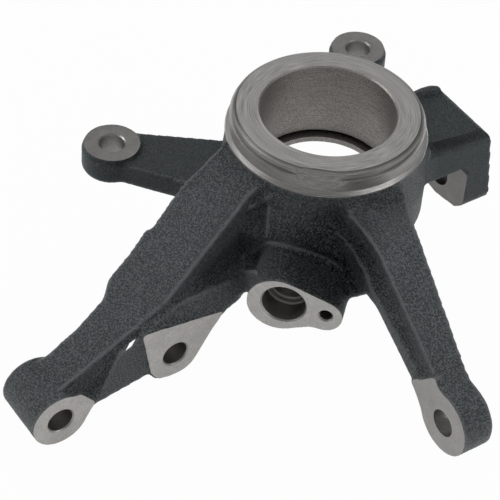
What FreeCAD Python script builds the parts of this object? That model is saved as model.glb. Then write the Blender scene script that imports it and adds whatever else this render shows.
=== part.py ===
# Front steering knuckle for a strut suspension: one iron casting with machined faces and bores.
# +Z is the hub axis, outboard. +Y is up in the car, towards the strut. -X is the steering-arm side.
# The origin is the centre of the bearing bore on the outboard face. A depth is measured inboard of it.

import math
import os

import FreeCAD
import Part

SIZES = {
    # bearing bore and the machined ring round its mouth
    "bore_dia": 76.0,
    "bore_depth": 46.4,
    "groove_dia": 79.0,
    "groove_width": 2.6,
    "lip_dia": 69.0,
    "lip_width": 3.4,
    "recess_dia": 96.0,
    "ring_top_dia": 102.0,
    "ring_upper_dia": 105.8,
    "ring_chamfer": 1.4,
    "ring_step_depth": 4.6,
    "ring_lower_dia": 109.0,
    "ring_foot_dia": 112.0,
    "ring_foot_depth": 14.0,
    "ring_foot_chamfer": 2.4,
    "flat_azimuth": 139.75,
    "flat_top_radius": 51.2,
    # cast barrel, its shoulder between two arms, and where the limbs start inside it
    "limb_root": 30.0,
    "barrel_dia": 116.6,
    "barrel_depth": 64.5,
    "barrel_flare_depth": 42.0,
    "shoulder_dia": 136.0,
    "shoulder_top": 27.0,
    "shoulder_edge": 45.0,
    # brake caliper arms
    "pad_dia": 32.6,
    "pad_depth": 46.0,
    "pad_step": 2.5,
    "caliper_boss_dia": 34.6,
    "caliper_hole_dia": 14.5,
    "caliper_arm_wall": 14.5,
    "caliper_arm_tip": 27.0,
    "caliper_arm_front_root": 30.2,
    "caliper_arm_back_root": 21.2,
    "upper_caliper_x": 80.0,
    "upper_caliper_y": 90.0,
    "lower_caliper_x": 83.0,
    "lower_caliper_y": -84.0,
    # strut arm: two parallel bolt holes along X
    "strut_face_x": -39.0,
    "strut_back_x": -5.0,
    "strut_hole_dia": 15.0,
    "upper_bolt_y": 191.0,
    "upper_bolt_depth": 111.2,
    "lower_bolt_y": 119.1,
    "lower_bolt_depth": 96.7,
    "upper_boss_dia": 33.6,
    "lower_boss_dia": 25.0,
    "strut_arm_foot": 18.0,
    "strut_arm_near_x": -17.0,
    "strut_arm_far_x": 20.0,
    "strut_arm_root_y": 54.0,
    "strut_arm_belly_y": 75.0,
    "strut_arm_knee_y": 123.0,
    "strut_arm_knee_depth": 60.0,
    "strut_arm_wall": 10.5,
    "pocket_floor_depth": 61.0,
    "clamp_plate_wall": 8.0,
    "clamp_plate_dia": 31.6,
    "clamp_plate_top": 62.2,
    "clamp_plate_draft": 3.5,
    "clamp_wall_reach": 47.0,
    "clamp_seat_left": 29.1,
    "clamp_seat_right": 21.0,
    "clamp_seat_top": 24.9,
    "clamp_seat_step": 1.0,
    # steering arm: taper hole along Y
    "tie_x": -170.0,
    "tie_depth": 72.3,
    "tie_face_y": 38.0,
    "tie_boss_width": 19.0,
    "tie_boss_dia": 37.4,
    "tie_hole_dia": 15.5,
    "steering_top": 20.5,
    "steering_top_x": -88.0,
    "steering_bend_x": -86.0,
    "steering_bend_y": 1.0,
    "steering_root_x": -52.0,
    "steering_root_y": 24.0,
    "steering_arch_x": -98.5,
    "steering_arch_depth": 44.5,
    "rib_root_x": -66.0,
    "rib_root_y": 30.0,
    "steering_rib_drop": 13.0,
    "steering_face_step": 0.8,
    # wheel-speed sensor boss, on a radius of the hub
    "sensor_azimuth": 134.0,
    "sensor_face": 100.0,
    "sensor_depth": 55.4,
    "sensor_hole_dia": 24.0,
    "sensor_seat_depth": 16.0,
    "sensor_inner_dia": 20.0,
    "sensor_boss_dia": 35.0,
    "sensor_boss_shift": 2.8,
    "sensor_boss_drop": 1.3,
    "screw_offset": 23.3,
    "screw_drop": 2.2,
    "screw_hole_dia": 6.8,
    "screw_hole_depth": 18.0,
    "screw_boss_dia": 21.0,
    # ball-joint arm and flap: taper hole along Y
    "ball_x": -9.0,
    "ball_depth": 72.8,
    "ball_face_y": -80.0,
    "ball_hole_dia": 17.0,
    "flap_wall": 20.0,
    "flap_draft": 7.0,
    "flap_width": 50.0,
    "flap_reach": 17.2,
    "flap_rise": 6.0,
    "ball_arm_root_y": -45.0,
    "ball_arm_top": 24.5,
    "ball_arm_fall": 6.0,
    "ball_arm_bottom": 50.0,
    # casting and machining
    "edge_radius": 3.0,
    "root_radius": 6.0,
    "hole_chamfer": 0.8,
    "taper": 0.1,
}

V = FreeCAD.Vector
AXES = {"x": V(1, 0, 0), "y": V(0, 1, 0), "z": V(0, 0, 1)}

doc = FreeCAD.newDocument("steering_knuckle")
sheet = doc.addObject("Spreadsheet::Sheet", "sizes")
for row, (name, value) in enumerate(SIZES.items(), start=1):
    sheet.set(f"A{row}", name)
    sheet.set(f"B{row}", str(value))
    sheet.setAlias(f"B{row}", name)
doc.recompute()


def size(name):
    return float(sheet.get(name))


def rounded(points, at):
    """Closed wire through (a, b) or (a, b, radius) corners; at() places a corner in space."""
    corners = [(V(p[0], p[1], 0), p[2] if len(p) > 2 else 0.0) for p in points]
    spans = []
    for i, (corner, radius) in enumerate(corners):
        before, after = corners[i - 1][0], corners[(i + 1) % len(corners)][0]
        if radius == 0.0:
            spans.append((corner, None, corner))
            continue
        u, w = (before - corner).normalize(), (after - corner).normalize()
        half = u.getAngle(w) / 2
        reach = radius / math.tan(half)
        middle = corner + (u + w).normalize() * (radius / math.sin(half) - radius)
        spans.append((corner + u * reach, middle, corner + w * reach))
    edges = []
    for i, (start, middle, finish) in enumerate(spans):
        if middle is not None:
            edges.append(Part.Arc(at(start), at(middle), at(finish)).toShape())
        following = spans[(i + 1) % len(spans)][0]
        if (following - finish).Length > 1e-6:
            edges.append(Part.makeLine(at(finish), at(following)))
    return Part.Wire(edges)


def plan(p):
    return V(p.x, p.y, 0)


def side(p):
    return V(0, p.x, p.y)


def front(p):
    return V(p.x, 0, p.y)


NORMAL = {plan: "z", side: "x", front: "y"}


def feature(name, shape):
    made = doc.addObject("Part::Feature", name)
    made.Shape = shape
    return made


def bind(made, **cells):
    """Bind properties to expressions; x, y and z stand for the placement's base."""
    for path, expression in cells.items():
        made.setExpression(f"Placement.Base.{path}" if path in AXES else path, expression)
    return made


def prism(name, points, view, start, length):
    """Solid drawn in one view. Its start and its length along the normal are expressions."""
    axis = NORMAL[view]
    outline = feature(f"{name}_outline", Part.Face(rounded(points, view)))
    bind(outline, **{axis: start})
    made = doc.addObject("Part::Extrusion", name)
    made.Base = outline
    made.DirMode = "Custom"
    made.Dir = AXES[axis]
    made.Solid = True
    return bind(made, LengthFwd=length)


def turned(name, points, azimuth=0.0, angle="360"):
    """Solid of revolution about the hub axis, from (radius, z) corners."""
    outline = feature(f"{name}_outline", Part.Face(rounded(points, front)))
    outline.Placement = FreeCAD.Placement(V(), FreeCAD.Rotation(AXES["z"], azimuth))
    made = doc.addObject("Part::Revolution", name)
    made.Source = outline
    made.Axis = AXES["z"]
    made.Solid = True
    return bind(made, Angle=angle)


def along(axis, backward=False):
    return FreeCAD.Rotation(AXES["z"], AXES[axis] * (-1 if backward else 1))


def cylinder(name, axis, radius, height, backward=False, **base):
    made = doc.addObject("Part::Cylinder", name)
    made.Placement.Rotation = along(axis, backward)
    return bind(made, Radius=radius, Height=height, **base)


def cone(name, axis, radius, far_radius, height, backward=False, **base):
    made = doc.addObject("Part::Cone", name)
    made.Placement.Rotation = along(axis, backward)
    return bind(made, Radius1=radius, Radius2=far_radius, Height=height, **base)


def fused(name, first, *others):
    """Join solids one after another."""
    for i, other in enumerate(others, start=1):
        made = doc.addObject("Part::Fuse", name if i == len(others) else f"{name}_{i}")
        made.Base, made.Tool, made.Refine = first, other, False
        first = made
    return first


def common(name, base, tool):
    made = doc.addObject("Part::Common", name)
    made.Base, made.Tool, made.Refine = base, tool, False
    return made


def filleted(name, base, radius, chosen):
    """Round the edges for which chosen(middle point, bounding box) holds."""
    doc.recompute()
    made = doc.addObject("Part::Fillet", name)
    made.Base = base
    edges = []
    for i, edge in enumerate(base.Shape.Edges, start=1):
        middle = edge.valueAt((edge.FirstParameter + edge.LastParameter) / 2)
        if chosen(middle, edge.BoundBox):
            edges.append((i, radius, radius))
    made.Edges = edges
    return made


def barrel():
    """Turned hub barrel, with the machined ring at its outboard end."""
    outer, foot = size("barrel_dia") / 2, size("ring_foot_dia") / 2
    upper, lower = size("ring_upper_dia") / 2, size("ring_lower_dia") / 2
    step, foot_depth, depth = size("ring_step_depth"), size("ring_foot_depth"), size("barrel_depth")
    return turned("barrel", [
        (0, 0), (size("ring_top_dia") / 2, 0), (upper, -size("ring_chamfer")), (upper, -step),
        (lower, -step), (lower, -foot_depth + size("ring_foot_chamfer")), (foot, -foot_depth),
        (foot, -foot_depth - 4, 5), (outer, -size("barrel_flare_depth"), 40),
        (outer, -depth, 5), (0, -depth),
    ])


def shoulder():
    """Sloping shoulder of the barrel between the strut arm and the steering arm."""
    outer, waist = size("shoulder_dia") / 2, size("barrel_dia") / 2 - 3
    top, edge, depth = size("shoulder_top"), size("shoulder_edge"), size("barrel_depth")
    root = size("limb_root")
    return turned("shoulder", [
        (root, -top), (waist, -top, 12), (outer, -edge, 6), (outer, -depth, 4), (root, -depth),
    ], 90, "75")


def caliper_arm(name, x, y, front_side):
    """Flat tapered arm from the hub axis to a round boss with a raised pad at (x, y)."""
    reach = math.hypot(x, y)
    tip, radius = size("caliper_arm_tip") / 2, size("edge_radius")
    wide, narrow, root = size("caliper_arm_front_root"), size("caliper_arm_back_root"), size("limb_root")
    outline = [(reach, tip), (root, wide), (root, -narrow), (reach, -tip)]
    if front_side < 0:
        outline = [(a, -b) for a, b in outline]
    under = "-sizes.pad_depth - sizes.pad_step - sizes.caliper_arm_wall"
    arm = prism(f"{name}_arm", outline, plan, under, "sizes.caliper_arm_wall")
    boss = cylinder(f"{name}_boss", "z", "sizes.caliper_boss_dia / 2", "sizes.caliper_arm_wall", z=under)
    boss.Placement.Base.x = reach
    pad = cylinder(
        f"{name}_pad", "z", "sizes.pad_dia / 2", "sizes.pad_step + 1",
        z="-sizes.pad_depth - sizes.pad_step - 1",
    )
    pad.Placement.Base.x = reach
    blank = fused(f"{name}_blank", arm, boss, pad)
    blank.Refine = True
    lowest = -size("pad_depth") - size("pad_step") - 1
    whole = filleted(
        name, blank, radius,
        lambda m, box: box.ZLength < 0.1 and m.x > root + 1 and m.z < lowest,
    )
    whole.Placement.Rotation = FreeCAD.Rotation(AXES["z"], math.degrees(math.atan2(y, x)))
    return whole


def strut_beam():
    """Beam of the strut arm: its side view cut by its top view."""
    knee_y, knee, wall = size("strut_arm_knee_y"), -size("strut_arm_knee_depth"), size("strut_arm_wall")
    bolt_y, bolt, boss = size("upper_bolt_y"), -size("upper_bolt_depth"), size("upper_boss_dia") / 2
    low_y, low, lug = size("lower_bolt_y"), -size("lower_bolt_depth"), size("lower_boss_dia") / 2
    top, foot, depth = bolt + boss, -size("strut_arm_foot"), -size("barrel_depth")
    right, left = size("strut_face_x") + 6, size("strut_back_x") - 4
    near, far = size("strut_arm_near_x"), size("strut_arm_far_x")
    root, root_y, belly_y = size("limb_root"), size("strut_arm_root_y"), size("strut_arm_belly_y")
    profile = [
        (root, foot), (root_y, foot, 8), (knee_y, knee, 60), (bolt_y - 3, top + 1), (bolt_y, top - 1),
        (bolt_y, bolt), (bolt_y - boss - 2.2, bolt - 0.8, 3),
        (bolt_y - 2 * boss - 2.4, bolt + boss - 1.8, 12),
        (low_y + 2 * lug + 0.4, low + lug + 1.2, 10), (low_y + lug - 0.6, knee - wall - 3.5, 10),
        (low_y - lug - 5.6, knee - wall - 1.5, 20), (belly_y, depth, 10), (root, depth),
    ]
    outline = [
        (near + 3, root), (near, root_y + 8, 20), (right, knee_y, 40), (right, bolt_y), (left, bolt_y),
        (left + 0.4, bolt_y - 25, 20), (left + 5.2, knee_y + 22, 4), (left + 13.4, knee_y + 13.5, 4),
        (left + 18.2, knee_y - 4), (left + 22.4, knee_y - 15, 2), (left + 20.4, knee_y - 18, 2),
        (left + 26.5, knee_y - 35, 15), (far, root_y + 6, 20), (far, root),
    ]
    return common(
        "strut_beam",
        prism("strut_beam_side", profile, side, "-60", "120"),
        prism("strut_beam_top", outline, plan, "-180", "180"),
    )


def clamp_plate():
    """Plate round the lower bolt: milled seat below, drafted cast wall above it."""
    y, z = size("lower_bolt_y"), -size("lower_bolt_depth")
    radius, top = size("clamp_plate_dia") / 2, -size("clamp_plate_top")
    face, draft = size("strut_face_x") + size("clamp_seat_step"), size("clamp_plate_draft")
    high, end = size("clamp_seat_top"), y - size("clamp_wall_reach")
    left, right = (y - size("clamp_seat_left"), z + high - 7.4), (y + size("clamp_seat_right"), z + high)
    round_end = [(right[0] - 6.3, z - radius, radius - 5), (y - 9, z - radius, radius - 4)]
    seat = prism(
        "clamp_seat", [left, right, *round_end], side,
        "sizes.strut_face_x", "sizes.clamp_plate_wall",
    )
    wall = prism("clamp_wall_side", [
        (end + 13, z + high - 8, 6), (end + 6, z + high - 4.9), (end, z + high + 1.1, 5), (end + 8, top, 5),
        (y - 6, top, 20), right, (y + 8, z), (y - 18, z + 4),
    ], side, "sizes.strut_face_x", "sizes.clamp_plate_wall + sizes.clamp_plate_draft")
    drafted = prism("clamp_wall_front", [
        (face, z), (face, right[1] - 4), (face + draft, top + 1), (face + draft + 8, top + 1), (face + 8, z),
    ], front, "sizes.lower_bolt_y - 60", "100")
    return [seat, common("clamp_wall", wall, drafted)]


def web_plate():
    """Thin plate from the clamp plate to the upper boss, with a hollow upper edge."""
    y, z, high = size("lower_bolt_y"), -size("lower_bolt_depth"), size("clamp_seat_top")
    end_y, end_z, boss = size("upper_bolt_y"), -size("upper_bolt_depth"), size("upper_boss_dia") / 2
    near = end_y - boss + 1.8
    return prism("web_plate", [
        (y + 9, z - 7.5), (near, end_z - 1.5), (near, end_z + 3), (near - 8.5, end_z + 3.2, 3),
        (near - 20.5, end_z + 2 * boss - 1.9, 10), (y + size("clamp_seat_right") - 1.5, z + high - 0.4),
        (y + 9, z + high),
    ], side, "sizes.strut_face_x + sizes.clamp_seat_step", "sizes.clamp_plate_wall - 1")


def strut_arm():
    """Beam to the upper bolt's boss, and the lower bolt's clamp carried below it."""
    width = "sizes.strut_back_x - sizes.strut_face_x"
    upper = cylinder(
        "upper_boss", "x", "sizes.upper_boss_dia / 2", width,
        x="sizes.strut_face_x", y="sizes.upper_bolt_y", z="-sizes.upper_bolt_depth",
    )
    lower = cylinder(
        "lower_boss", "x", "sizes.lower_boss_dia / 2", width,
        x="sizes.strut_face_x", y="sizes.lower_bolt_y", z="-sizes.lower_bolt_depth",
    )
    bolt_y, bolt, boss = size("upper_bolt_y"), -size("upper_bolt_depth"), size("upper_boss_dia") / 2
    horn = prism("upper_boss_horn", [
        (bolt_y, bolt + boss - 0.8), (bolt_y - 12.2, bolt + boss - 2.5), (bolt_y - boss - 2.7, bolt + 6.1, 4),
        (bolt_y - boss - 3.6, bolt + 3.5), (bolt_y - boss, bolt - 4.5), (bolt_y, bolt - 6),
    ], side, "sizes.strut_face_x", "8")
    y, half = size("lower_bolt_y"), size("lower_boss_dia") / 2
    knee, root = -size("strut_arm_knee_depth"), size("limb_root")
    inside = "sizes.strut_face_x + sizes.clamp_plate_wall - 1"
    neck = prism("lower_boss_neck", [
        (y - half, -size("lower_bolt_depth")), (y + half, -size("lower_bolt_depth")),
        (y + half, knee - 8), (y - half, knee - 4),
    ], side, inside, f"sizes.strut_back_x - ({inside})")
    floor, under = -size("pocket_floor_depth"), -size("barrel_depth")
    wall_x, near_y = size("strut_face_x") + size("clamp_plate_wall") - 2, size("strut_arm_root_y") + 8
    pan = common(
        "strut_pocket_floor",
        prism("floor_side", [
            (root, floor + 3), (near_y - 2, floor + 1, 20), (y, floor - 3), (y + 10, floor - 12),
            (y - 18, floor - 11, 20), (size("strut_arm_belly_y"), under, 10), (root, under),
        ], side, inside, "60"),
        prism("floor_top", [
            (wall_x, y + 10), (wall_x, near_y), (wall_x + 13, root + 10), (15, root + 10), (5, y),
        ], plan, "-100", "60"),
    )
    return fused("strut_arm", strut_beam(), upper, lower, horn, neck, pan, *clamp_plate(), web_plate())


def steering_arm():
    """Tapered plate down to the tie-rod boss, with a deeper rib along its upper side."""
    face, x, z = size("tie_face_y"), size("tie_x"), -size("tie_depth")
    back, radius = face - size("tie_boss_width"), size("tie_boss_dia") / 2
    top, drop, depth = -size("steering_top"), size("steering_rib_drop"), -size("barrel_depth")
    cast = face - size("steering_face_step")
    root, rib_x, rib_y = size("limb_root"), size("rib_root_x"), size("rib_root_y")
    top_x, bend_x, bend_y = size("steering_top_x"), size("steering_bend_x"), size("steering_bend_y")
    root_x, root_y = size("steering_root_x"), size("steering_root_y")
    arch_x, arch = size("steering_arch_x"), -size("steering_arch_depth")
    below = [
        (x, z - radius), (x + 14, z - radius + 13.5, 8), (arch_x - 4.5, arch, 12), (arch_x + 4.5, arch, 6),
        (arch_x + 14.5, arch - 11.5, 8), (arch_x + 22.5, depth, 6), (-root, depth),
    ]
    near_hub = [(x, back), (x + 5.5, back, 12), (bend_x, bend_y, 60), (root_x, -root / 2), (-root, -root)]
    crown = common(
        "steering_crown",
        prism("crown_side", [
            (-root, top), (top_x, top + 2, 30), (x + 12, z + radius + 2.5, 12), (x, z + radius), *below,
        ], front, "-60", "120"),
        prism("crown_top", [
            (-root, root_y - 4), (root_x, root_y), (x + 12, face - 1.5), (x, face - 1.5), *near_hub,
        ], plan, "-140", "140"),
    )
    rib = common(
        "steering_rib",
        prism("rib_side", [
            (-root, top - drop), (top_x, top - drop + 2, 30), (x + 20, z + radius - 8),
            (x, z + radius - 8), *below,
        ], front, "-60", "120"),
        prism("rib_top", [
            (-root, rib_y), (rib_x, rib_y, 20), (arch_x, cast, 30), (x, cast), *near_hub,
        ], plan, "-140", "140"),
    )
    boss = cylinder(
        "tie_rod_boss", "y", "sizes.tie_boss_dia / 2", "sizes.tie_boss_width",
        x="sizes.tie_x", y="sizes.tie_face_y - sizes.tie_boss_width", z="-sizes.tie_depth",
    )
    pad = prism("tie_rod_pad", [
        (x, z + radius - 1), (x + 22, z + 12), (x + 19, z - 1), (x, z - radius + 1),
    ], front, "sizes.tie_face_y - 6", "6")
    return fused("steering_arm", crown, rib, boss, pad)


def on_sensor(made):
    """Place what is built along X at the origin on the sensor's axis."""
    return bind(made, **{"Placement.Rotation.Angle": "sizes.sensor_azimuth"}, z="-sizes.sensor_depth")


def sensor_boss():
    """Two-lobed boss on a radius of the hub: the sensor's hole and its screw's."""
    big, small = size("sensor_boss_dia") / 2, size("screw_boss_dia") / 2
    y0, z0 = -size("sensor_boss_shift"), -size("sensor_boss_drop")
    y1, z1 = size("screw_offset") - 1.3, -size("screw_drop") - 0.6
    start = "sizes.recess_dia / 2 + 2"
    length = f"sizes.sensor_face - ({start})"
    large = cylinder(
        "sensor_lobe", "x", "sizes.sensor_boss_dia / 2", length,
        x=start, y="-sizes.sensor_boss_shift", z="-sizes.sensor_boss_drop",
    )
    lobe = cylinder(
        "screw_lobe", "x", "sizes.screw_boss_dia / 2", length,
        x=start, y="sizes.screw_offset - 1.3", z="-sizes.screw_drop - 0.6",
    )
    bridge = prism("sensor_bridge", [
        (y0 + 5.6, z0 + big - 0.9), (y1 + 3.3, z1 + small - 0.5), (y1, z1 - small + 0.6),
        (y1 - 7, z1 - small + 0.4, 6), (y0 + 9, z0 - big + 2.4),
    ], side, start, length)
    return on_sensor(fused("sensor_boss", large, lobe, bridge))


def ball_arm():
    """Arm below the hub that turns inboard into the ball joint's flap."""
    face, x, half = size("ball_face_y"), size("ball_x"), size("flap_width") / 2
    back, top = face - size("flap_wall"), -size("ball_arm_top")
    bottom, under = -size("ball_depth") - size("flap_reach"), -size("ball_arm_bottom")
    root = size("limb_root")
    return common(
        "ball_joint_arm",
        prism("ball_arm_side", [
            (-root, top), (size("ball_arm_root_y"), top),
            (back + size("flap_draft"), top - size("ball_arm_fall"), size("root_radius")),
            (back, bottom + size("flap_rise")), (face, bottom), (face, under, size("root_radius")),
            (-root, under),
        ], side, "-80", "160"),
        prism("ball_arm_front", [
            (x - half, 0), (x - half, bottom + 7.5, 9), (x - 2, bottom - 1.5, 40),
            (x + half, bottom + 9, 9), (x + half, 0),
        ], front, "-130", "130"),
    )


def drilled(name, axis, cell, depth, backward=False, **base):
    """Hole from a face, along an axis, with a chamfered mouth."""
    radius = f"sizes.{cell} / 2"
    drill = cylinder(name, axis, radius, depth, backward, **base)
    mouth = cone(
        f"{name}_mouth", axis, f"{radius} + sizes.hole_chamfer", radius, "sizes.hole_chamfer",
        backward, **base,
    )
    return [drill, mouth]


def tapered(name, axis, cell, wall, **base):
    """Taper hole through a wall, narrowest at the face where the stud's nut seats."""
    radius = f"sizes.{cell} / 2"
    far = f"{radius} + sizes.taper / 2 * (sizes.{wall} + 1)"
    return cone(name, axis, radius, far, f"sizes.{wall} + 1", True, **base)


def bore():
    """Bearing bore, snap-ring groove, lip and inboard recess."""
    wide, groove = size("bore_dia") / 2, size("groove_dia") / 2
    lip, recess = size("lip_dia") / 2, size("recess_dia") / 2
    top, depth = -size("bore_depth"), size("barrel_depth")
    seat = top - size("groove_width")
    under = seat - size("lip_width")
    return turned("bore", [
        (0, 1), (wide + 2, 1), (wide, -1), (wide, top), (groove, top), (groove, seat),
        (lip, seat), (lip, under), (recess, under), (recess, -depth - 1), (0, -depth - 1),
    ])


def ring_flat():
    """Flat milled across the ring's outer steps, leaning out to the chamfer of its foot."""
    top, foot = size("flat_top_radius"), size("ring_lower_dia") / 2
    under = size("ring_foot_chamfer") - size("ring_foot_depth")
    made = prism("ring_flat", [
        (top, 1), (top, 0), (foot, under), (foot + 20, under), (foot + 20, 1),
    ], front, "-30", "60")
    return bind(made, **{"Placement.Rotation.Angle": "sizes.flat_azimuth"})


def holes():
    through = "sizes.caliper_arm_wall + sizes.pad_step + 1"
    clamp = "sizes.strut_back_x - sizes.strut_face_x + 1"
    cutters = [bore(), ring_flat()]
    for which in ("upper", "lower"):
        cutters += drilled(
            f"{which}_caliper_hole", "z", "caliper_hole_dia", through, True,
            x=f"sizes.{which}_caliper_x", y=f"sizes.{which}_caliper_y", z="-sizes.pad_depth",
        )
        cutters += drilled(
            f"{which}_strut_hole", "x", "strut_hole_dia", clamp,
            x="sizes.strut_face_x", y=f"sizes.{which}_bolt_y", z=f"-sizes.{which}_bolt_depth",
        )
    cutters.append(tapered(
        "tie_rod_hole", "y", "tie_hole_dia", "tie_boss_width",
        x="sizes.tie_x", y="sizes.tie_face_y", z="-sizes.tie_depth",
    ))
    cutters.append(tapered(
        "ball_joint_hole", "y", "ball_hole_dia", "flap_wall",
        x="sizes.ball_x", y="sizes.ball_face_y", z="-sizes.ball_depth",
    ))
    sensor = drilled(
        "sensor_hole", "x", "sensor_hole_dia", "sizes.sensor_seat_depth", True, x="sizes.sensor_face",
    )
    sensor.append(cylinder(
        "sensor_inner_hole", "x", "sizes.sensor_inner_dia / 2", "sizes.sensor_face - sizes.bore_dia / 2 - 6",
        True, x="sizes.sensor_face",
    ))
    screw = drilled(
        "sensor_screw_hole", "x", "screw_hole_dia", "sizes.screw_hole_depth", True,
        x="sizes.sensor_face", y="sizes.screw_offset", z="-sizes.screw_drop",
    )
    cutters.append(on_sensor(fused("sensor_holes", *sensor, *screw)))
    return cutters


hub = fused(
    "hub",
    barrel(), shoulder(),
    caliper_arm("upper_caliper", size("upper_caliper_x"), size("upper_caliper_y"), 1),
    caliper_arm("lower_caliper", size("lower_caliper_x"), size("lower_caliper_y"), -1),
)
casting = fused("casting", ball_arm(), strut_arm(), steering_arm(), sensor_boss(), hub)
knuckle = doc.addObject("Part::Cut", "knuckle_casting")
knuckle.Base = casting
knuckle.Tool = fused("machining", *holes())
knuckle.Refine = False
knuckle.Label = "knuckle_casting"
doc.recompute()

for made in doc.Objects:
    if "Invalid" in made.State or "Error" in made.State:
        raise RuntimeError(f"{made.Name} failed: {made.State}")
if knuckle.Shape.isNull() or not knuckle.Shape.isValid() or len(knuckle.Shape.Solids) != 1:
    raise RuntimeError("knuckle_casting is not one valid solid")
os.makedirs("parts", exist_ok=True)
knuckle.Shape.exportStep(os.path.join("parts", f"{knuckle.Label}.step"))
print(knuckle.Label, "solids", len(knuckle.Shape.Solids), "volume", round(knuckle.Shape.Volume))
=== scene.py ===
import math

import bmesh
import bpy
from mathutils import Matrix, Vector


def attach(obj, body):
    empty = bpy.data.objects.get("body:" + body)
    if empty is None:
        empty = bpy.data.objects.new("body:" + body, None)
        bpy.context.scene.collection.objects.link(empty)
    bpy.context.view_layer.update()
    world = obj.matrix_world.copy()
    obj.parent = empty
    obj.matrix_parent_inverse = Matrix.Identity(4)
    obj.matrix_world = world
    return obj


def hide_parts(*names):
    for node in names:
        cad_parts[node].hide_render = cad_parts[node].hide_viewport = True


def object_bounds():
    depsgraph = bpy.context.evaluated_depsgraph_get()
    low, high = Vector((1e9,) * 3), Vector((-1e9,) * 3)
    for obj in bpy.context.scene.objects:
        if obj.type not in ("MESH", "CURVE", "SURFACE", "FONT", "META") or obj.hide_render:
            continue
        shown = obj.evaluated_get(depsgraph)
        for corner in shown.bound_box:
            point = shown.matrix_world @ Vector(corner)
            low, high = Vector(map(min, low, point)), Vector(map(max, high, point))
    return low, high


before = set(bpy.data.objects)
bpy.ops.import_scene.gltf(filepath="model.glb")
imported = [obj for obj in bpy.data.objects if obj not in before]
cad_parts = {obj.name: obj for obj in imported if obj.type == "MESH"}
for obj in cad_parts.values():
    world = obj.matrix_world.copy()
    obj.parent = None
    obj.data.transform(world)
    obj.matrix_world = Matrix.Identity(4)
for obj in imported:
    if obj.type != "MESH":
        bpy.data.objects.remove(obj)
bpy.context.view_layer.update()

MM = 0.001
X, Y, Z = Vector((1, 0, 0)), Vector((0, 1, 0)), Vector((0, 0, 1))


def box(left, right, bottom, top):
    """Corners of an upright rectangle."""
    return ((left, bottom), (right, bottom), (right, top), (left, top))


# All sizes up to the cast skin are in millimetres, as in the part's own source
# Hub: bore, snap-ring groove, lip, recess, stepped ring and a flat that is a little deeper than the source's
BORE_R, BORE_DEPTH = 38.0, 46.4
GROOVE_R, GROOVE_WIDTH = 39.5, 2.6
LIP_R, LIP_WIDTH = 34.5, 3.4
SEAT_Z = -BORE_DEPTH - GROOVE_WIDTH
UNDER_LIP_Z = SEAT_Z - LIP_WIDTH
RECESS_R, BARREL_DEPTH = 48.0, 64.5
RING_TOP_R, RING_UPPER_R, RING_LOWER_R, RING_FOOT_R = 51.0, 52.9, 54.5, 56.0
RING_BEVEL, RING_STEP, RING_FOOT, FOOT_SLOPE = 1.4, 4.6, 14.0, 2.4
FLAT_AZIMUTH, FLAT_TOP_R = 139.75, 50.1

# Caliper arms: places of the two bolts in plan, pads and holes
CALIPERS = ((80.0, 90.0), (83.0, -84.0))
PAD_R, PAD_DEPTH, PAD_STEP, ARM_WALL = 16.3, 46.0, 2.5, 14.5
CALIPER_HOLE_R, CALIPER_DRILL = 7.25, 22.0

# Strut clamp: its two faces in x, and its bolts and outlines as y and z, the outlines about a bolt
STRUT_FACE, STRUT_BACK = -39.0, -5.0
UPPER_BOLT, LOWER_BOLT = (191.0, -111.2), (119.1, -96.7)
STRUT_HOLE_R, STRUT_DRILL = 7.5, 40.0
UPPER_EAR_R, LOWER_EAR_R = 16.8, 12.5
EAR_OUTLINE = ((0.0, 16.0), (-12.2, 14.3), (-19.0, 6.6), (-20.2, 3.5), (-16.8, -4.5), (0.0, -6.0))
PLATE_TOP, PLATE_HEEL = ((-29.1, 17.5), (-12.8, -9.6)), (21.0, 24.9)
PLATE_NOSE_R, PLATE_NOSE_SHIFT = 15.6, -0.6
EAR_STOCK, PLATE_STOCK = 6.0, 4.0
EAR_MILL, BACK_MILL = box(-36.0, 24.0, -28.8, 51.2), box(-16.0, 16.0, -16.0, 14.0)
PLATE_MILL = ((-34.0, 12.0), (-34.0, -25.0), (22.0, -25.0), (25.0, 26.5), (-29.5, 18.9))

# Steering arm's eye: hole, face in y, and outlines as x and z about the hole
TIE, TIE_FACE, TIE_HOLE_R, TIE_DRILL = (-170.0, -72.3), 38.0, 7.75, 24.0
TIE_EYE_R, TIE_WALL = 18.7, 19.0
TIE_OUTLINE = ((0.0, 17.7), (22.0, 12.0), (19.0, -1.0), (0.0, -17.7))
TIE_NECK = ((28.4, 5.0), (11.3, 23.6), (8.0, 19.3), (2.0, 17.9), (0.0, 0.0), (18.0, -5.7), (25.7, 2.8))
TIE_MILL = box(-25.0, 31.0, -25.0, 26.0)

# Ball-joint flap: hole, face in y, and outlines as x and z about the hole
BALL, BALL_FACE, BALL_HOLE_R, BALL_DRILL = (-9.0, -72.8), -80.0, 8.5, 26.0
BALL_PLUG_R, BALL_PLUG_DEPTH, BALL_PLUG = 10.0, 19.0, 18.0
FLAP_OUTLINE = (
    (-23.5, 12.8), (-24.0, -8.0), (-18.0, -13.5), (0.0, -16.2), (18.0, -13.0), (24.0, -8.0), (23.5, 12.8),
)
FLAP_MILL, FLAP_MILL_HEIGHT = box(-32.0, 32.0, -24.0, 15.8), 7.0
# Its rounded shoulder: x and z of the corner and the radius where it starts in y, and its run
SHOULDER, SHOULDER_START, SHOULDER_RUN = (-34.0, -25.0, 7.0), -49.0, (0.0, -56.0, -7.0)

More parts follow.
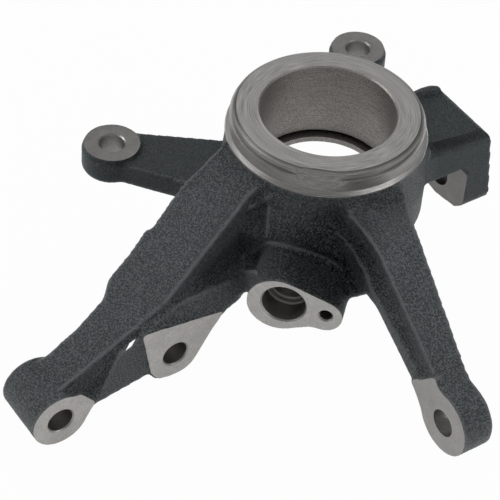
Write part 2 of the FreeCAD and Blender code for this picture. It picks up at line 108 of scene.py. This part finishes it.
# Sensor boss, drawn with x along its own axis: the stepped hole, the screw hole and the two lobes
SENSOR_AZIMUTH, SENSOR_FACE, SENSOR_DEPTH, SENSOR_HOLE_R = 134.0, 100.0, 55.4, 12.0
SENSOR_SEAT, SENSOR_INNER_R, SENSOR_END, SENSOR_ROOT = 16.0, 10.0, 44.0, 52.0
SCREW, SCREW_HOLE_R, SCREW_DRILL = (23.3, -2.2), 3.4, 18.0
LOBES, LOBE_ROOT = ((17.2, (-2.8, -1.3)), (10.2, (22.0, -2.8))), 90.0
BOSS_OUTLINE = ((2.8, 15.1), (25.3, 6.8), (22.0, -12.5), (15.0, -12.6), (6.2, -16.2))
BOSS_MILL = box(-30.0, 45.0, -30.0, 30.0)
SENSOR_TURN = Matrix.Rotation(math.radians(SENSOR_AZIMUTH), 4, "Z")
SENSOR_PLACE = Matrix.Translation((0, 0, -SENSOR_DEPTH)) @ SENSOR_TURN
SENSOR_AXIS = SENSOR_PLACE.to_3x3() @ X

# Metal left on for machining, how deep such stock is rooted, and how far cutters stand past the metal
ALLOWANCE, STOCK_ROOT, PAD_ROOT, PLUG_MARGIN = 1.6, 4.0, 10.0, 1.0
OVERRUN, MOUTH, MILL_HEIGHT, BEVEL = 4.0, 3.0, 8.0, 0.8
PAD_INSET, PLUG_LIFT, TAPER, TAPER_LEAD = 1.0, 0.5, 0.05, 1.0
RING_STOCK_R, CORE_R, CORE_END_Z = RING_FOOT_R + 0.6, 50.0, 2.0 - BARREL_DEPTH
HUB_STOCK = (
    (0.0, ALLOWANCE), (RING_LOWER_R, ALLOWANCE), (RING_STOCK_R, -3.0), (RING_STOCK_R, -17.0),
    (CORE_R, -20.0), (CORE_R, CORE_END_Z), (0.0, CORE_END_Z),
)
RING_TOOL_INNER_R, RING_TOOL_OUTER_R, RING_TOOL_TOP = 26.0, 66.0, 5.0
FLAT_TOOL_R, FLAT_TOOL_TOP, FLAT_TOOL_WIDTH = 68.5, 6.0, 60.0
PAD_TOOL_R, GROOVE_SKIM = PAD_R + 5.0, 0.1

# Raised lines of the mould on the cast skin: radius, then points
RAISED_LINES = (
    # rim behind the sensor boss
    (2.1, ((-25.2, 69.2, -60.4), (-24.3, 65.4, -60.2), (-25.5, 63.2, -57.7), (-32.9, 59.7, -46.8),
           (-38.3, 59.4, -42.7), (-42.5, 58.1, -40.4), (-47.2, 56.1, -39.1), (-50.9, 53.2, -39.2),
           (-53.7, 49.8, -40.3), (-60.9, 39.8, -44.7), (-66.9, 35.5, -47.3), (-70.0, 34.2, -48.5),
           (-72.4, 32.3, -50.7), (-79.1, 33.1, -50.8))),
    # patch at the root of the strut arm
    (2.0, ((-17.5, 62.8, -30.4), (-16.6, 55.8, -30.2), (-18.6, 54.0, -27.8), (-21.5, 52.6, -24.5))),
    # outer edge of the strut arm by the ring
    (0.9, ((17.9, 83.5, -35.9), (20.0, 57.0, -19.8), (19.5, 52.4, -14.0))),
    # flash between the sensor boss and the steering arm
    (0.8, ((-61.0, 30.2, -39.7), (-68.6, 30.2, -32.0), (-71.2, 28.1, -31.9), (-74.1, 26.8, -26.0),
           (-80.8, 27.3, -18.5))),
    # inner edge of the steering arm
    (0.8, ((-51.4, 23.9, -25.6), (-64.6, 25.5, -19.3), (-85.7, 28.0, -19.0), (-93.2, 28.9, -21.0),
           (-158.4, 36.5, -51.2), (-160.7, 36.5, -56.1))),
    # inner edge of the strut arm, above and below its bend
    (1.0, ((-18.7, 68.6, -26.9), (-32.7, 123.0, -60.0))),
    (1.0, ((-33.0, 133.1, -69.3), (-33.0, 143.0, -70.3), (-33.0, 188.0, -93.4), (-31.5, 189.6, -94.5))),
    # hump on the ball-joint arm
    (2.6, ((13.2, -73.0, -28.6), (12.7, -77.5, -27.4), (12.3, -82.5, -27.4), (11.9, -88.0, -29.4))),
    # edge between the strut arm's root and the barrel
    (1.5, ((-23.4, 52.2, -28.9), (-32.5, 59.3, -44.3))),
)
# Fillet between the sensor boss and the clamp's web, and the slit beside that web
WEB_FILL = (
    (-27.7, 74.6, -63.6), (-50.4, 77.9, -43.0), (-54.5, 80.2, -48.0), (-50.0, 80.0, -54.6),
    (-46.9, 79.9, -59.2), (-43.5, 80.1, -65.8), (-40.5, 80.2, -70.7), (-32.7, 77.4, -69.5),
)
WEB_FILL_RUN = Vector((0.576, -0.426, -0.698)) * 9.0
WEB_SLIT = ((-44.6, 155.0, -70.6), (-43.3, 151.8, -67.5), (-43.6, 148.1, -65.5), (-44.8, 151.4, -68.6))
WEB_SLIT_RUN = (52.8, -33.4, -64.8)

# Cast skin, in metres: voxel, fill of the roots, what the filled skin loses, and the sand's lumps and grit
VOXEL, ROOT_FILL, SKIN_LOSS = 0.00125, 0.0030, 0.0003
SAND = (("lumps", 0.007, 0.0003), ("grit", 0.0022, 0.00022))
CREASE_ANGLE = math.radians(14)

# Centre of the painted shade in the recess by the sensor boss, where the paint renders darker, in metres
PAINTED_SHADE_CENTRE = (-0.070, 0.045, -0.045)

# Camera at the photograph's viewing angle: the direction that points right in it, lens, height and roll in
# degrees, distance, and how far the hub shows right of the middle and above it, in metres
VIEW_RIGHT = Vector((-0.595, -0.804, 0.0)).normalized()
LENS, VIEW_HEIGHT, VIEW_ROLL, VIEW_DISTANCE = 156.96, 43.35, 4.75, 1.2
HUB_RIGHT, HUB_ABOVE = 0.043255, 0.077119
CAMERA_REACH = 20.0

# Square lamps: name, place, side and power
LAMPS = (
    ("back", (0.85, -0.63, 0.95), 1.1, 5.0),
    ("left", (0.9, 1.2, 0.6), 0.7, 7.5),
    ("right", (-1.5, -0.7, 0.4), 0.7, 7.5),
    ("top", (0.15, -0.1, 1.4), 0.9, 4.0),
)
LAMP_AIM = Vector((0.0, 0.03, -0.05))
WORLD_LIGHT = 0.25
FLOOR_SIZE = 4000.0


class Socket:
    """A node's output that adds Math nodes when it is used in arithmetic."""

    def __init__(self, tree, output):
        self.tree, self.output = tree, output

    def math(self, operation, *others, flip=False):
        node = self.tree.nodes.new("ShaderNodeMath")
        node.operation = operation
        values = [self, *others]
        if flip:
            values.reverse()
        for slot, value in zip(node.inputs, values):
            if isinstance(value, Socket):
                self.tree.links.new(value.output, slot)
            else:
                slot.default_value = value
        return Socket(self.tree, node.outputs[0])

    def __add__(self, other):
        return self.math("ADD", other)

    def __radd__(self, other):
        return self.math("ADD", other)

    def __sub__(self, other):
        return self.math("SUBTRACT", other)

    def __rsub__(self, other):
        return self.math("SUBTRACT", other, flip=True)

    def __mul__(self, other):
        return self.math("MULTIPLY", other)

    def __rmul__(self, other):
        return self.math("MULTIPLY", other)

    def clamp(self):
        return self.math("MAXIMUM", 0.0).math("MINIMUM", 1.0)


class Finish:
    """A material whose nodes are added one call at a time."""

    def __init__(self, name):
        self.material = bpy.data.materials.new(name)
        self.material.use_nodes = True
        self.tree = self.material.node_tree
        self.shader = self.tree.nodes["Principled BSDF"]
        self.coords = self.node("ShaderNodeTexCoord", None, "Object")

    def node(self, kind, inputs=None, out=0, **settings):
        """One node: its settings first, then values or links by socket. Several outputs come as a list."""
        made = self.tree.nodes.new(kind)
        for key, value in settings.items():
            if key == "stops":
                ramp = made.color_ramp
                while len(ramp.elements) < len(value):
                    ramp.elements.new(0.5)
                for element, (position, colour) in zip(ramp.elements, value):
                    element.position, element.color = position, colour
            else:
                setattr(made, key, value)
        self.fill(made, inputs or {})
        if isinstance(out, tuple):
            return [Socket(self.tree, made.outputs[name]) for name in out]
        return Socket(self.tree, made.outputs[out])

    def fill(self, made, inputs):
        for key, value in inputs.items():
            if isinstance(value, Socket):
                self.tree.links.new(value.output, made.inputs[key])
            else:
                made.inputs[key].default_value = value

    def noise(self, scale, detail=3.0, roughness=0.55, vector=None):
        return self.node("ShaderNodeTexNoise", {
            "Vector": vector or self.coords, "Scale": scale, "Detail": detail, "Roughness": roughness,
        }, "Fac")

    def between(self, value, low, high, new_low=0.0, new_high=1.0):
        return self.node("ShaderNodeMapRange", {
            "Value": value, "From Min": low, "From Max": high, "To Min": new_low, "To Max": new_high,
        }, clamp=True)

    def ramp(self, value, *stops):
        return self.node("ShaderNodeValToRGB", {"Fac": value}, "Color", stops=stops)

    def mix(self, factor, first, second):
        return self.node("ShaderNodeMix", {0: factor, 6: first, 7: second}, 2, data_type="RGBA")

    def bump(self, height, distance, strength=1.0):
        return self.node("ShaderNodeBump", {
            "Height": height, "Distance": distance, "Strength": strength,
        }, "Normal")

    def set(self, **inputs):
        self.fill(self.shader, {key.replace("_", " "): value for key, value in inputs.items()})
        return self.material


def grey(value, warm=0.0):
    return (value * (1 + warm), value, value * (1 - warm), 1.0)


def cast_coating():
    """Black paint over a sand-cast skin: fine grain, lighter grain tops and edges that are partly rubbed
    paint and partly painted highlight, plainer arms inboard, and painted shade in a recess and in creases.
    """
    coat = Finish("cast_coating")
    x, y = coat.node("ShaderNodeSeparateXYZ", {0: coat.coords}, ("X", "Y"))
    grain = coat.noise(1000.0, 2.0) * 0.7 + coat.noise(1900.0, 2.0) * 0.3
    patches = coat.noise(38.0, 3.0)
    sharp = coat.node("ShaderNodeNewGeometry", None, "Pointiness")
    away = coat.node("ShaderNodeVectorMath", {0: coat.coords, 1: PAINTED_SHADE_CENTRE}, "Value", operation="DISTANCE")
    # Painted shade in the recess by the sensor boss: it keeps fewer lighter specks and turns more metallic,
    # so it renders darker.
    recess = coat.between(away, 0.040, 0.022)
    plain = coat.between(x, 0.022, 0.040).math("MAXIMUM", coat.between(y, -0.040, -0.056))
    # Partly rubbed paint and partly painted highlight: the tops of the grain and sharp convex edges (high
    # pointiness) get a lighter grey, standing in both for rubbed paint and for glints of light.
    wear_and_glint = coat.between(grain, 0.45, 0.59) + coat.between(sharp, 0.506, 0.555) * 1.4
    paint = coat.ramp(patches, (0.3, grey(0.006, -0.08)), (0.7, grey(0.010, -0.06)))
    wear_and_glint_mix = (wear_and_glint * (1.0 - plain * 0.8 - recess * 0.3)).clamp()
    # Painted shade: the paint turns more metallic over its near-black colour, so less glossy and darker, in
    # the recess by the sensor boss and in concave creases (low pointiness); on the plainer arms this is the
    # smoother paint's own look.
    shade_and_plain_dulling = recess * 0.85 + coat.between(sharp, 0.492, 0.43) * 0.4 + plain * 0.5
    return coat.set(
        Base_Color=coat.mix(wear_and_glint_mix, paint, grey(0.160, -0.04)),
        Roughness=coat.between(patches, 0.3, 0.7, 0.34, 0.40),
        Metallic=shade_and_plain_dulling.clamp(),
        Specular_IOR_Level=0.95,
        Specular_Tint=(0.88, 1.0, 1.03, 1.0),
        Normal=coat.bump(grain * (1.0 - plain * 0.7), 0.0034),
    )


def turned_iron(name, colour, roughness, pitch, marks_share, below=None):
    """Bare iron turned about the hub axis: tool marks in a fine grain, and where a second pair of colours is
    given, painted light: a lighter colour and a rougher finish below the top face.
    """
    iron = Finish(name)
    x, y, z = iron.node("ShaderNodeSeparateXYZ", {0: iron.coords}, ("X", "Y", "Z"))
    radius = (x * x + y * y).math("SQRT")
    travel = iron.node("ShaderNodeCombineXYZ", {
        "X": radius * pitch + x * 90.0, "Y": z * pitch, "Z": y * 90.0,
    })
    marks = iron.noise(1.0, 2.0, 0.5, travel)
    speckle = iron.noise(1700.0, 2.0, 0.6)
    tone = marks * marks_share + speckle * (1.0 - marks_share)
    body = iron.mix(iron.between(tone, 0.34, 0.66), *colour)
    rough = iron.between(tone, 0.34, 0.66, roughness + 0.06, roughness - 0.06)
    if below:
        side = iron.between(z, -0.0002, -0.0012)
        body = iron.mix(side, body, iron.mix(iron.between(tone, 0.34, 0.66), *below))
        rough = rough + side * 0.12
    return iron.set(Base_Color=body, Metallic=1.0, Roughness=rough, Normal=iron.bump(tone, 0.00006, 0.5))


def milled_iron(name, colour):
    """Bare milled iron of a seat: even fine grain with a few specks."""
    iron = Finish(name)
    grain = iron.noise(1500.0, 3.0, 0.65)
    clouds = iron.noise(120.0, 3.0)
    specks = iron.between(iron.noise(700.0, 2.0), 0.29, 0.34)
    dark, light = colour
    body = iron.mix(iron.between(grain * 0.7 + clouds * 0.3, 0.35, 0.65), dark, light)
    return iron.set(
        Base_Color=iron.mix(specks, dark, body),
        Metallic=1.0,
        Roughness=iron.between(grain, 0.3, 0.7, 0.52, 0.42),
        Normal=iron.bump(grain, 0.00006, 0.5),
    )


def facing(axis):
    """Turn that lays +Z along an axis."""
    return Z.rotation_difference(Vector(axis)).to_matrix().to_4x4()


def scene_object(name, data):
    made = bpy.data.objects.new(name, data)
    bpy.context.scene.collection.objects.link(made)
    return made


def mesh_object(name, bm, finish=None):
    """Object from a bmesh drawn in millimetres."""
    bmesh.ops.scale(bm, vec=(MM, MM, MM), verts=bm.verts)
    bmesh.ops.recalc_face_normals(bm, faces=bm.faces)
    data = bpy.data.meshes.new(name)
    bm.to_mesh(data)
    bm.free()
    if finish:
        data.materials.append(finish)
    return scene_object(name, data)


def turn(bm, profile, steps, place=None):
    """Solid of revolution about Z from (radius, z) corners, closed by the axis or by itself."""
    before = set(bm.verts)
    verts = [bm.verts.new((radius, 0.0, z)) for radius, z in profile]
    edges = [bm.edges.new(pair) for pair in zip(verts, verts[1:])]
    if profile[0][0] or profile[-1][0]:
        edges.append(bm.edges.new((verts[-1], verts[0])))
    bmesh.ops.spin(
        bm, geom=verts + edges, cent=(0, 0, 0), axis=Z, angle=math.tau, steps=steps, use_merge=True,
    )
    bmesh.ops.remove_doubles(bm, verts=[v for v in bm.verts if v not in before], dist=1e-4)
    if place:
        bmesh.ops.transform(bm, matrix=place, verts=[v for v in bm.verts if v not in before])


def rod(bm, radius, start, length, axis, steps=96, far=None):
    """Round bar from a point along an axis; far is its radius at the far end."""
    place = Matrix.Translation(start) @ facing(axis)
    turn(bm, [(0.0, 0.0), (radius, 0.0), (far or radius, length), (0.0, length)], steps, place)


def drill(bm, radius, start, length, axis, place=None):
    """Drill with a bevelled mouth at start, cutting along axis."""
    turned = Matrix.Translation(start) @ facing(axis)
    if place:
        turned = place @ turned
    mouth = radius + BEVEL + MOUTH
    profile = [(0.0, -MOUTH), (mouth, -MOUTH), (radius, BEVEL), (radius, length), (0.0, length)]
    turn(bm, profile, 96, turned)


def taper_drill(bm, radius, centre, face, length):
    """Taper cutter through a face in y, wider at its far end."""
    x, z = centre
    rod(bm, radius, (x, face + TAPER_LEAD, z), length, -Y, far=radius + TAPER * length)


def about(centre, outline):
    """Outline moved from its own centre to its place in the view."""
    return [(centre[0] + across, centre[1] + up) for across, up in outline]


def prism(bm, corners, run):
    """Plate with corners in space, drawn out along its run; its verts come back."""
    verts = [bm.verts.new(corner) for corner in corners]
    made = bmesh.ops.extrude_face_region(bm, geom=[bm.faces.new(verts)])
    moved = [v for v in made["geom"] if isinstance(v, bmesh.types.BMVert)]
    bmesh.ops.translate(bm, verts=moved, vec=run)
    return verts + moved


def slab(bm, outline, view, start, thickness, place=None):
    """Plate with a drawn outline, from start along the view's normal: side is y and z, front is x and z."""
    def put(across, up, normal):
        return (normal, across, up) if view == "side" else (across, normal, up)

    verts = prism(bm, [put(across, up, start) for across, up in outline], put(0.0, 0.0, thickness))
    if place:
        bmesh.ops.transform(bm, matrix=place, verts=verts)


def raised_lines():
    """Round bars with ball ends along the raised lines."""
    bm = bmesh.new()
    for radius, points in RAISED_LINES:
        for start, end in zip(points, points[1:]):
            along = Vector(end) - Vector(start)
            rod(bm, radius, start, along.length, along, 16)
            bmesh.ops.create_icosphere(bm, subdivisions=2, radius=radius, matrix=Matrix.Translation(end))
    return mesh_object("beads", bm)


def plate_outline():
    """Outline of the lower clamp plate: its web's edge, round the bolt, then its heel."""
    arc = [math.radians(angle) for angle in range(220, 351, 10)]
    nose = [(PLATE_NOSE_SHIFT + PLATE_NOSE_R * math.cos(a), PLATE_NOSE_R * math.sin(a)) for a in arc]
    return about(LOWER_BOLT, [*PLATE_TOP, *nose, PLATE_HEEL])


def caliper_stock(bm):
    for x, y in CALIPERS:
        arm_top = -PAD_DEPTH - PAD_STEP
        rod(bm, PAD_R - PAD_INSET, (x, y, arm_top - PAD_ROOT), PAD_STEP + PAD_ROOT + ALLOWANCE, Z)
        rod(bm, CALIPER_HOLE_R + PLUG_MARGIN, (x, y, arm_top - ARM_WALL + PLUG_LIFT), ARM_WALL, Z)


def strut_stock(bm):
    front, width = STRUT_FACE - ALLOWANCE, STRUT_BACK - STRUT_FACE + 2 * ALLOWANCE
    rod(bm, UPPER_EAR_R, (front, *UPPER_BOLT), width, X)
    rod(bm, LOWER_EAR_R, (front, *LOWER_BOLT), width, X)
    slab(bm, about(UPPER_BOLT, EAR_OUTLINE), "side", front, EAR_STOCK)
    slab(bm, plate_outline(), "side", front, PLATE_STOCK)


def tie_stock(bm):
    x, z = TIE
    rod(bm, TIE_EYE_R, (x, TIE_FACE - TIE_WALL, z), TIE_WALL + ALLOWANCE, Y)
    for outline in (TIE_OUTLINE, TIE_NECK):
        slab(bm, about(TIE, outline), "front", TIE_FACE - STOCK_ROOT, STOCK_ROOT + ALLOWANCE)


def flap_stock(bm):
    x, z = BALL
    slab(bm, about(BALL, FLAP_OUTLINE), "front", BALL_FACE - STOCK_ROOT, STOCK_ROOT + ALLOWANCE)
    rod(bm, BALL_PLUG_R, (x, BALL_FACE - BALL_PLUG_DEPTH, z), BALL_PLUG, Y)


def sensor_stock(bm):
    root = SENSOR_PLACE @ Vector((SENSOR_ROOT, 0, 0))
    rod(bm, SENSOR_HOLE_R + PLUG_MARGIN, root, SENSOR_FACE - SENSOR_ROOT, SENSOR_AXIS)
    height = SENSOR_FACE - LOBE_ROOT + ALLOWANCE
    for radius, centre in LOBES:
        rod(bm, radius, SENSOR_PLACE @ Vector((LOBE_ROOT, *centre)), height, SENSOR_AXIS)
    slab(bm, BOSS_OUTLINE, "side", LOBE_ROOT, height, SENSOR_PLACE)


def raw_casting():
    """The casting before machining: the CAD solid with its bores filled and stock on its machined faces."""
    bm = bmesh.new()
    bm.from_mesh(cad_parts["knuckle_casting"].data)
    bmesh.ops.remove_doubles(bm, verts=bm.verts, dist=1e-6)
    bmesh.ops.scale(bm, vec=(1 / MM,) * 3, verts=bm.verts)
    turn(bm, HUB_STOCK, 160)
    caliper_stock(bm)
    strut_stock(bm)
    tie_stock(bm)
    flap_stock(bm)
    sensor_stock(bm)
    prism(bm, WEB_FILL, WEB_FILL_RUN)
    return mesh_object("knuckle_raw", bm)


def bore(bm):
    """Bore with its bevelled mouth, the groove, the lip and the recess."""
    turn(bm, [
        (0.0, OVERRUN), (BORE_R + BEVEL + OVERRUN, OVERRUN), (BORE_R, -BEVEL), (BORE_R, -BORE_DEPTH),
        (GROOVE_R, -BORE_DEPTH), (GROOVE_R, SEAT_Z), (LIP_R, SEAT_Z), (LIP_R, UNDER_LIP_Z),
        (RECESS_R, UNDER_LIP_Z), (RECESS_R, -BARREL_DEPTH - OVERRUN), (0.0, -BARREL_DEPTH - OVERRUN),
    ], 240)


def groove(bm):
    """A skim of the groove alone, which gives it painted shade: a much darker iron colour than the bore's.
    """
    inner, outer = BORE_R - 1.0, GROOVE_R + 2 * GROOVE_SKIM
    top, bottom = -BORE_DEPTH - GROOVE_SKIM, SEAT_Z + GROOVE_SKIM
    turn(bm, [(inner, top), (outer, top), (outer, bottom), (inner, bottom)], 240)


def slit(bm):
    prism(bm, WEB_SLIT, WEB_SLIT_RUN)


def shoulder(bm):
    """Rounding of the ball-joint arm's long edge."""
    x, z, radius = SHOULDER
    arc = [math.radians(angle) for angle in range(0, 91, 10)]
    round_edge = [(x + radius - radius * math.sin(a), z - radius + radius * math.cos(a)) for a in arc]
    outside, above = x - OVERRUN, z + MOUTH
    corners = [(outside, above), (x + radius, above), *round_edge, (outside, z - radius)]
    prism(bm, [(across, SHOULDER_START, up) for across, up in corners], SHOULDER_RUN)


def ring(bm):
    """Top face, two steps and foot of the ring."""
    turn(bm, [
        (RING_TOOL_INNER_R, 0.0), (RING_TOP_R, 0.0), (RING_UPPER_R, -RING_BEVEL), (RING_UPPER_R, -RING_STEP),
        (RING_LOWER_R, -RING_STEP), (RING_LOWER_R, FOOT_SLOPE - RING_FOOT), (RING_FOOT_R, -RING_FOOT),
        (RING_TOOL_OUTER_R, -RING_FOOT), (RING_TOOL_OUTER_R, RING_TOOL_TOP),
        (RING_TOOL_INNER_R, RING_TOOL_TOP),
    ], 240)


def ring_flat(bm):
    """Flat across the ring above the sensor boss."""
    foot = FOOT_SLOPE - RING_FOOT
    outline = [
        (FLAT_TOP_R, FLAT_TOOL_TOP), (FLAT_TOP_R, 0.0), (RING_LOWER_R, foot), (FLAT_TOOL_R, foot),
        (FLAT_TOOL_R, FLAT_TOOL_TOP),
    ]
    place = Matrix.Rotation(math.radians(FLAT_AZIMUTH), 4, "Z")
    slab(bm, outline, "front", -FLAT_TOOL_WIDTH / 2, FLAT_TOOL_WIDTH, place)


def pads(bm):
    for x, y in CALIPERS:
        rod(bm, PAD_TOOL_R, (x, y, -PAD_DEPTH), MILL_HEIGHT, Z)


def seats(bm):
    """Both sides of the strut clamp and the face of the sensor boss."""
    for bolt, outline in ((UPPER_BOLT, EAR_MILL), (LOWER_BOLT, PLATE_MILL)):
        slab(bm, about(bolt, outline), "side", STRUT_FACE - MILL_HEIGHT, MILL_HEIGHT)
    for bolt, outline in ((UPPER_BOLT, EAR_MILL), (LOWER_BOLT, BACK_MILL)):
        slab(bm, about(bolt, outline), "side", STRUT_BACK, MILL_HEIGHT)
    slab(bm, BOSS_MILL, "side", SENSOR_FACE, MILL_HEIGHT, SENSOR_PLACE)


def tie_face(bm):
    slab(bm, about(TIE, TIE_MILL), "front", TIE_FACE, MILL_HEIGHT)


def flap_face(bm):
    slab(bm, about(BALL, FLAP_MILL), "front", BALL_FACE, FLAP_MILL_HEIGHT)


def holes(bm):
    """Bolt holes, the tie-rod hole and the mouth of the sensor's."""
    for x, y in CALIPERS:
        drill(bm, CALIPER_HOLE_R, (x, y, -PAD_DEPTH), CALIPER_DRILL, -Z)
    for y, z in (UPPER_BOLT, LOWER_BOLT):
        drill(bm, STRUT_HOLE_R, (STRUT_FACE, y, z), STRUT_DRILL, X)
    taper_drill(bm, TIE_HOLE_R, TIE, TIE_FACE, TIE_DRILL)
    drill(bm, SENSOR_HOLE_R, (SENSOR_FACE, 0, 0), SENSOR_SEAT, -X, SENSOR_PLACE)


def ball_hole(bm):
    taper_drill(bm, BALL_HOLE_R, BALL, BALL_FACE, BALL_DRILL)


def inner_holes(bm):
    """Sensor hole below its ledge, and the screw hole."""
    ledge = SENSOR_FACE - SENSOR_SEAT
    drill(bm, SENSOR_INNER_R, (ledge, 0, 0), ledge - SENSOR_END, -X, SENSOR_PLACE)
    drill(bm, SCREW_HOLE_R, (SENSOR_FACE, *SCREW), SCREW_DRILL, -X, SENSOR_PLACE)


def applied(obj):
    """Replace an object's mesh with the result of its modifiers."""
    graph = bpy.context.evaluated_depsgraph_get()
    data = bpy.data.meshes.new_from_object(obj.evaluated_get(graph))
    obj.modifiers.clear()
    obj.data = data
    return obj


def skin(obj):
    """One closed skin of even faces."""
    remesh = obj.modifiers.new("skin", "REMESH")
    remesh.mode, remesh.voxel_size = "VOXEL", VOXEL


def swell(obj, amount):
    """Move the skin out, or in where the amount is negative."""
    push = obj.modifiers.new("swell", "DISPLACE")
    push.strength, push.mid_level = amount, 0.0


def soften(obj, steps):
    smooth = obj.modifiers.new("soften", "SMOOTH")
    smooth.factor, smooth.iterations = 0.5, steps


def fill_roots(obj):
    """Copy of the casting whose inner corners are filled, just under the skin elsewhere."""
    filled = obj.copy()
    bpy.context.scene.collection.objects.link(filled)
    skin(filled)
    swell(filled, ROOT_FILL)
    skin(filled)
    soften(filled, 4)
    swell(filled, -ROOT_FILL - SKIN_LOSS)
    return applied(filled)


def sand_cast(obj):
    """One skin with filled roots, raised lines, soft corners and the shallow lumps of a sand mould."""
    bm = bmesh.new()
    bm.from_mesh(obj.data)
    for extra in (fill_roots(obj), raised_lines()):
        bm.from_mesh(extra.data)
        bpy.data.objects.remove(extra)
    bm.to_mesh(obj.data)
    bm.free()
    skin(obj)
    soften(obj, 2)
    for name, scale, strength in SAND:
        texture = bpy.data.textures.new(name, "CLOUDS")
        texture.noise_scale = scale
        push = obj.modifiers.new(name, "DISPLACE")
        push.texture, push.strength, push.mid_level = texture, strength, 0.5
    return applied(obj)


def machine(obj, name, shape, finish):
    """Cut one shape out of the casting and leave its finish on the cut faces."""
    bm = bmesh.new()
    shape(bm)
    tool = mesh_object(name, bm, finish)
    cut = obj.modifiers.new(name, "BOOLEAN")
    cut.operation, cut.object, cut.solver = "DIFFERENCE", tool, "MANIFOLD"
    cut.material_mode = "TRANSFER"
    applied(obj)
    bpy.data.objects.remove(tool)


def crease(obj):
    """Smooth shading, with sharp edges only round and on the machined faces."""
    bm = bmesh.new()
    bm.from_mesh(obj.data)
    for face in bm.faces:
        face.smooth = True
    for edge in bm.edges:
        kinds = {face.material_index for face in edge.link_faces}
        bent = edge.calc_face_angle(0.0) > CREASE_ANGLE
        edge.smooth = not (len(kinds) > 1 or (bent and 0 not in kinds))
    bm.to_mesh(obj.data)
    bm.free()


cast = cast_coating()
# Painted light: the ring's top face has a dark iron colour and the faces below it a lighter one, standing in
# for more light on the side and less on the top.
ring_painted_light = turned_iron("turned_ring", (grey(0.11, 0.03), grey(0.26, 0.025)), 0.38, 2600.0, 0.65,
                        below=(grey(0.24, 0.03), grey(0.46, 0.025)))
bore_iron = turned_iron("ground_bore", (grey(0.20, 0.06), grey(0.50, 0.05)), 0.48, 1200.0, 0.2)
groove_painted_shade = turned_iron("groove_shade", (grey(0.020, 0.03), grey(0.045, 0.03)), 0.6, 1000.0, 0.2)
# Painted shade: the flap's milled face, which turns away from the light, gets a darker copy of the seats'
# milled iron.
flap_painted_shade = milled_iron("milled_flap", (grey(0.21, 0.03), grey(0.32, 0.03)))
tie_iron = milled_iron("milled_tie", (grey(0.34, 0.035), grey(0.50, 0.03)))
seat_iron = milled_iron("milled_seat", (grey(0.42, 0.035), grey(0.62, 0.03)))
# Painted shade: the caliper pads' milled faces, which face up into the lamps, get a much darker copy of the
# milled iron; the ball-joint hole takes it too, as shade inside the hole.
pad_painted_shade = milled_iron("milled_pad", (grey(0.10, 0.03), grey(0.19, 0.03)))
drilled_iron = turned_iron("drilled_iron", (grey(0.30, 0.03), grey(0.46, 0.03)), 0.45, 1000.0, 0.2)

knuckle = sand_cast(raw_casting())
knuckle.data.materials.clear()
knuckle.data.materials.append(cast)
for name, shape, finish in (
    ("bore_tool", bore, bore_iron), ("groove_tool", groove, groove_painted_shade), ("slit_tool", slit, cast),
    ("shoulder_tool", shoulder, cast), ("ring_tool", ring, ring_painted_light), ("flat_tool", ring_flat, ring_painted_light),
    ("pad_tool", pads, pad_painted_shade), ("seat_tool", seats, seat_iron), ("tie_tool", tie_face, tie_iron),
    ("flap_tool", flap_face, flap_painted_shade), ("drill_tool", holes, drilled_iron),
    ("ball_tool", ball_hole, pad_painted_shade), ("fine_drill_tool", inner_holes, drilled_iron),
):
    machine(knuckle, name, shape, finish)
knuckle.name = knuckle.data.name = "knuckle"
crease(knuckle)
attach(knuckle, "root")
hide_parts("knuckle_casting")


def photo_camera():
    """Camera at the photograph's viewing angle, with the hub right of the middle and above it."""
    height, roll = math.radians(VIEW_HEIGHT), math.radians(VIEW_ROLL)
    level = VIEW_RIGHT.cross(Z)
    back = level * math.cos(height) + Z * math.sin(height)
    upright = Z * math.cos(height) - level * math.sin(height)
    right = VIEW_RIGHT * math.cos(roll) + upright * math.sin(roll)
    above = upright * math.cos(roll) - VIEW_RIGHT * math.sin(roll)
    eye = back * VIEW_DISTANCE - right * HUB_RIGHT - above * HUB_ABOVE
    data = bpy.data.cameras.new("camera")
    data.lens, data.clip_end = LENS, CAMERA_REACH
    made = scene_object("camera", data)
    made.matrix_world = Matrix.Translation(eye) @ Matrix((right, above, back)).transposed().to_4x4()
    return made


def pale_floor():
    """Pale floor that is white to the camera, a little so in reflections, and keeps the object's shadow."""
    pale = Finish("pale_floor")
    pale.set(Base_Color=(0.8, 0.8, 0.8, 1), Roughness=0.9)
    camera_ray, glossy, through = pale.node("ShaderNodeLightPath", None, (
        "Is Camera Ray", "Is Glossy Ray", "Is Transmission Ray",
    ))
    seen = (camera_ray * 0.97).math("MAXIMUM", glossy * 0.38).math("MAXIMUM", through * 0.97)
    glow = pale.node("ShaderNodeEmission", {"Color": (1, 1, 1, 1), "Strength": 1.0})
    surface = Socket(pale.tree, pale.shader.outputs[0])
    mixed = pale.node("ShaderNodeMixShader", {0: seen, 1: surface, 2: glow})
    pale.fill(pale.tree.nodes["Material Output"], {0: mixed})
    return pale.material


def soft_light(name, place, side, power):
    data = bpy.data.lights.new(name, "AREA")
    data.shape, data.size, data.energy = "SQUARE", side, power
    lamp = scene_object(name, data)
    lamp.location = place
    lamp.rotation_euler = (LAMP_AIM - Vector(place)).to_track_quat("-Z", "Y").to_euler()


bpy.context.scene.camera = photo_camera()

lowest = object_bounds()[0].z
bm = bmesh.new()
bmesh.ops.create_grid(bm, x_segments=1, y_segments=1, size=FLOOR_SIZE)
floor = mesh_object("floor", bm, pale_floor())
floor.data.transform(Matrix.Translation((0, 0, lowest)))

for lamp in LAMPS:
    soft_light(*lamp)

world = bpy.data.worlds.new("studio")
world.use_nodes = True
background = world.node_tree.nodes["Background"]
background.inputs["Color"].default_value = (1, 1, 1, 1)
background.inputs["Strength"].default_value = WORLD_LIGHT
bpy.context.scene.world = world
bpy.context.scene.view_settings.view_transform = "Standard"
